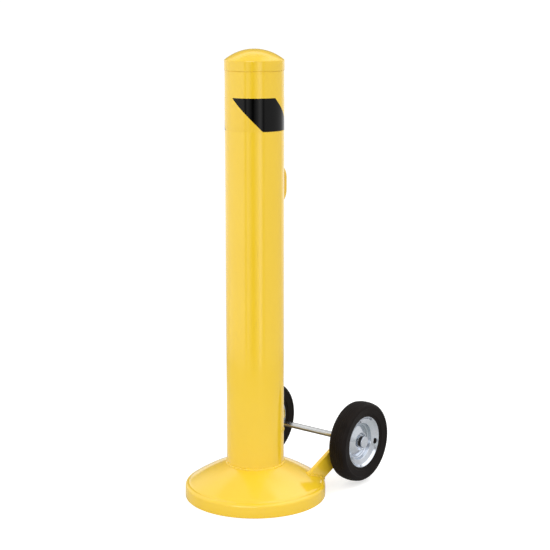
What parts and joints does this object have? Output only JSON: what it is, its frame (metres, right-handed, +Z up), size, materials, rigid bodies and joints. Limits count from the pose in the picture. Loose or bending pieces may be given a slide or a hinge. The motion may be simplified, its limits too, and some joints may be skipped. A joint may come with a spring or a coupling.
{
  "type": "safety bollard",
  "caption": "Round steel safety post with a domed cap and warning band on a weighted round base, with a rear grab handle and tilt-back transport wheels.",
  "frame": {"origin": "centre of the base's flat underside, on the floor, on the post's axis", "axes": "+Z up along the post, +Y from the post towards the wheels, +X along the axle"},
  "size_m": [0.351, 0.4991, 1.088],
  "materials": {
    "yellow_paint": "glossy powder coat",
    "band_yellow": "smooth reflective film",
    "band_black": "smooth film",
    "bright_steel": "drawn bright bar",
    "zinc_plate": "bright zinc plate with a faint spangle",
    "tyre_rubber": "matt moulded rubber",
    "nylon": "moulded nylon",
    "ballast_fill": "cast concrete"
  },
  "bodies": {
    "bollard": {"base_shell": "yellow_paint", "base_plate": "yellow_paint", "ballast": "ballast_fill", "post_tube": "yellow_paint", "post_weld": "yellow_paint", "warning_band": "band_yellow", "band_stripes": "band_black", "grab_handle": "yellow_paint", "handle_welds": "yellow_paint", "arm_left": "yellow_paint", "arm_right": "yellow_paint", "arm_welds": "yellow_paint", "axle": "bright_steel", "inner_washers": "nylon", "outer_washers": "nylon", "axle_caps": "zinc_plate"},
    "cap": {"post_cap": "yellow_paint"},
    "wheel_left": {"tyre_left": "tyre_rubber", "rim_outer_left": "zinc_plate", "rim_inner_left": "zinc_plate", "hub_tube_left": "zinc_plate", "bush_outer_left": "nylon", "bush_inner_left": "nylon"},
    "wheel_right": {"tyre_right": "tyre_rubber", "rim_outer_right": "zinc_plate", "rim_inner_right": "zinc_plate", "hub_tube_right": "zinc_plate", "bush_outer_right": "nylon", "bush_inner_right": "nylon"}
  },
  "joints": [
    {"name": "cap_lift", "type": "slide", "parent": "bollard", "child": "cap", "axis": [0, 0, 1], "range_m": [0, 0.06]},
    {"name": "wheel_left_spin", "type": "hinge", "parent": "bollard", "child": "wheel_left", "pos_m": [-0.1523, 0.2257, 0.109], "axis": [1, 0, 0], "continuous": true},
    {"name": "wheel_right_spin", "type": "hinge", "parent": "bollard", "child": "wheel_right", "pos_m": [0.1523, 0.2257, 0.109], "axis": [1, 0, 0], "continuous": true}
  ]
}
